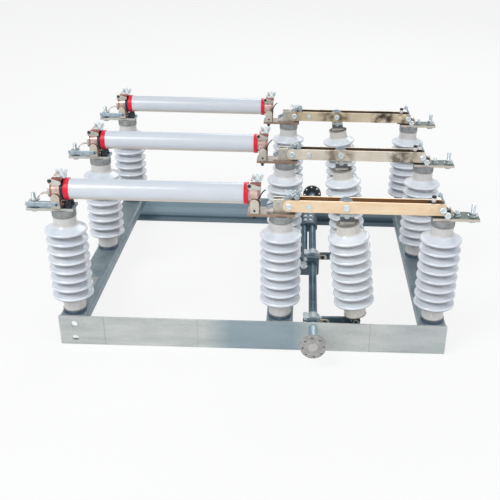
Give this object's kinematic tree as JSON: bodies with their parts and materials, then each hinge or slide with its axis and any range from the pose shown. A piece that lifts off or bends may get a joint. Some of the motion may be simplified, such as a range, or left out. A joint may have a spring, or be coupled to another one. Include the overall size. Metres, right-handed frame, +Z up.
{
  "type": "indoor fuse disconnector",
  "caption": "Indoor fuse disconnector: porcelain posts on a low steel frame, tube fuses in clips, hinged twin blades lifted by insulated rods from a common shaft.",
  "frame": {"origin": "bottom centre of the whole, in the plane that the frame stands on", "axes": "+X from the fuse end to the contact end, +Y from the front channel to the rear channel, +Z up"},
  "size_m": [1.153, 1.086, 0.4967],
  "materials": {
    "galvanised_channel": "hot-dip galvanised steel",
    "galvanised_cross_channel": "hot-dip galvanised steel",
    "glazed_porcelain": "pale grey glaze",
    "cast_base": "galvanised casting",
    "cast_cap": "galvanised casting",
    "fuse_porcelain": "pale glaze",
    "red_band": "red paint band",
    "plated_ferrule": "silver plated",
    "tinned_copper": "tinned copper strip",
    "plated_strap": "plated steel",
    "bare_copper": "bare copper",
    "plated_bar": "tinned copper bar",
    "copper_bar": "bare copper bar",
    "tinned_plate": "tinned plate",
    "zinc_link": "zinc plated",
    "tinned_contact": "tinned copper",
    "yellow_blade": "drawn copper, yellow lacquer",
    "zinc_bolt": "bright zinc plated",
    "black_fork": "black painted steel",
    "cast_yoke": "galvanised casting",
    "zinc_shaft": "zinc plated tube",
    "cast_disc": "galvanised disc",
    "zinc_crank": "zinc plated",
    "galvanised_bracket": "galvanised plate",
    "galvanised_tube": "zinc plated tube",
    "plain_plate": "bare plate"
  },
  "bodies": {
    "base": {"front_channel": "galvanised_channel", "rear_channel": "galvanised_channel", "left_cross_channel": "galvanised_cross_channel", "middle_cross_channel": "galvanised_cross_channel", "right_cross_channel": "galvanised_cross_channel", "fuse_insulator_front": "glazed_porcelain", "fuse_insulator_middle": "glazed_porcelain", "fuse_insulator_rear": "glazed_porcelain", "hinge_insulator_front": "glazed_porcelain", "hinge_insulator_middle": "glazed_porcelain", "hinge_insulator_rear": "glazed_porcelain", "contact_insulator_front": "glazed_porcelain", "contact_insulator_middle": "glazed_porcelain", "contact_insulator_rear": "glazed_porcelain", "insulator_bases": "cast_base", "insulator_caps": "cast_cap", "fuse_tube_front": "fuse_porcelain", "fuse_tube_middle": "fuse_porcelain", "fuse_tube_rear": "fuse_porcelain", "fuse_end_bands": "red_band", "fuse_ferrules": "plated_ferrule", "clip_jaws": "tinned_copper", "clip_straps": "plated_strap", "clip_covers": "bare_copper", "outer_terminals": "plated_bar", "contact_terminals": "plated_bar", "hinge_bars": "copper_bar", "hinge_plates": "tinned_plate", "hinge_links": "zinc_link", "fixed_contacts": "tinned_contact", "nameplate": "plain_plate", "second_plate": "plain_plate"},
    "blade_front": {"blade_pair_front": "yellow_blade", "blade_bolts_front": "zinc_bolt"},
    "rod_front": {"rod_insulator_front": "glazed_porcelain", "rod_fork_front": "black_fork", "rod_yoke_front": "cast_yoke"},
    "blade_middle": {"blade_pair_middle": "yellow_blade", "blade_bolts_middle": "zinc_bolt"},
    "rod_middle": {"rod_insulator_middle": "glazed_porcelain", "rod_fork_middle": "black_fork", "rod_yoke_middle": "cast_yoke"},
    "blade_rear": {"blade_pair_rear": "yellow_blade", "blade_bolts_rear": "zinc_bolt"},
    "rod_rear": {"rod_insulator_rear": "glazed_porcelain", "rod_fork_rear": "black_fork", "rod_yoke_rear": "cast_yoke"},
    "shaft": {"operating_shaft": "zinc_shaft", "shaft_discs": "cast_disc", "cranks": "zinc_crank", "side_tube_clamps": "galvanised_bracket", "side_tube": "galvanised_tube"}
  },
  "joints": [
    {"name": "shaft_turn", "type": "hinge", "parent": "base", "child": "shaft", "pos_m": [0.164, 0, 0.0745], "axis": [0, -1, 0], "range_deg": [0, 60]},
    {"name": "blade_swing_front", "type": "hinge", "parent": "base", "child": "blade_front", "pos_m": [0.092, -0.405, 0.417], "axis": [0, -1, 0], "range_deg": [0, 45.05]},
    {"name": "rod_swing_front", "type": "hinge", "parent": "blade_front", "child": "rod_front", "pos_m": [0.2375, -0.405, 0.417], "axis": [0, 1, 0], "range_deg": [0, 48.35]},
    {"name": "blade_swing_middle", "type": "hinge", "parent": "base", "child": "blade_middle", "pos_m": [0.092, 0, 0.417], "axis": [0, -1, 0], "range_deg": [0, 45.05]},
    {"name": "rod_swing_middle", "type": "hinge", "parent": "blade_middle", "child": "rod_middle", "pos_m": [0.2375, 0, 0.417], "axis": [0, 1, 0], "range_deg": [0, 48.35]},
    {"name": "blade_swing_rear", "type": "hinge", "parent": "base", "child": "blade_rear", "pos_m": [0.092, 0.405, 0.417], "axis": [0, -1, 0], "range_deg": [0, 45.05]},
    {"name": "rod_swing_rear", "type": "hinge", "parent": "blade_rear", "child": "rod_rear", "pos_m": [0.2375, 0.405, 0.417], "axis": [0, 1, 0], "range_deg": [0, 48.35]}
  ],
  "couplings": [
    {"joint": "blade_swing_front", "follows": "shaft_turn", "ratio": 0.75},
    {"joint": "rod_swing_front", "follows": "shaft_turn", "ratio": 0.805},
    {"joint": "blade_swing_middle", "follows": "shaft_turn", "ratio": 0.75},
    {"joint": "rod_swing_middle", "follows": "shaft_turn", "ratio": 0.805},
    {"joint": "blade_swing_rear", "follows": "shaft_turn", "ratio": 0.75},
    {"joint": "rod_swing_rear", "follows": "shaft_turn", "ratio": 0.805}
  ]
}
